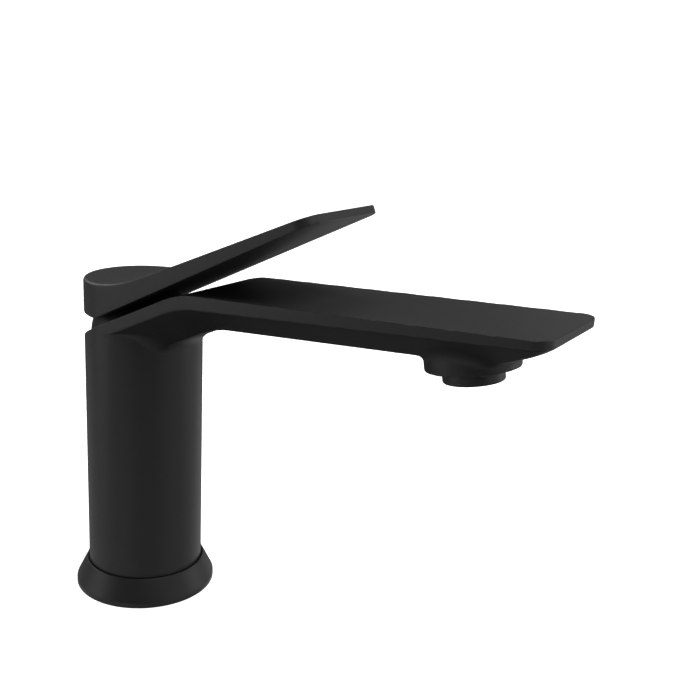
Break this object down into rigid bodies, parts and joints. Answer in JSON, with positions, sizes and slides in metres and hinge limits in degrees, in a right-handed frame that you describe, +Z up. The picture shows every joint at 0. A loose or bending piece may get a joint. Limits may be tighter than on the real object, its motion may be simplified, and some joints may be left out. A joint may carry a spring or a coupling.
{
  "type": "bathroom mixer faucet",
  "caption": "Single-lever deck-mounted basin mixer with a round column, a flat bent spout, a tilted sliding-disc cartridge, a wedge lever and a tilted aerator.",
  "frame": {"origin": "centre of the base on the deck surface, on the column's axis", "axes": "+Z up the column, +X along the spout towards the basin, +Y to the right of someone facing the spout end from the basin side; hot is on -Y and cold on +Y"},
  "size_m": [0.2118, 0.0588, 0.1733],
  "materials": {
    "black_coating": "matte black powder coat on cast brass, fine orange-peel texture, satin highlights",
    "black_plastic": "moulded black ABS, fine matte texture",
    "rubber_seal": "moulded black nitrile rubber",
    "bare_brass": "turned bare brass",
    "stainless_steel": "turned stainless steel",
    "grey_nylon": "moulded glass-filled nylon",
    "white_acetal": "moulded natural acetal",
    "red_acetal": "moulded red acetal",
    "ceramic": "lapped alumina ceramic"
  },
  "bodies": {
    "body": {"body_casting": "black_coating", "base_ring": "black_coating", "base_gasket": "rubber_seal", "base_o_ring": "rubber_seal", "dome_bonnet": "black_coating", "cartridge_nut": "bare_brass", "cartridge_housing": "grey_nylon", "cartridge_o_ring": "rubber_seal", "cartridge_foot": "white_acetal", "hot_inlet_seal": "rubber_seal", "cold_inlet_seal": "rubber_seal", "fixed_ceramic_disc": "ceramic", "aerator_collar": "black_coating", "aerator_insert": "white_acetal", "aerator_screen": "stainless_steel", "flow_regulator": "white_acetal", "aerator_washer": "rubber_seal"},
    "rotor": {"stem_rotor": "white_acetal", "stem_pin": "stainless_steel", "hot_limit_ring": "red_acetal"},
    "lever": {"lever_handle": "black_coating", "stem": "bare_brass", "handle_grub_screw": "stainless_steel", "screw_cover_plug": "black_plastic"},
    "sliding_disc": {"disc_carrier": "white_acetal", "moving_ceramic_disc": "ceramic"}
  },
  "joints": [
    {"name": "temperature_turn", "type": "hinge", "parent": "body", "child": "rotor", "pos_m": [0, 0, 0.11159], "axis": [-0.4247, 0, 0.9053], "range_deg": [-45, 45]},
    {"name": "lever_lift", "type": "hinge", "parent": "rotor", "child": "lever", "pos_m": [0, 0, 0.11159], "axis": [0, -1, 0], "range_deg": [0, 20]},
    {"name": "disc_slide", "type": "slide", "parent": "rotor", "child": "sliding_disc", "axis": [0.9053, 0, 0.4247], "range_m": [0, 0.00266]}
  ],
  "couplings": [
    {"joint": "disc_slide", "follows": "lever_lift", "m_per_rad": 0.00756}
  ]
}
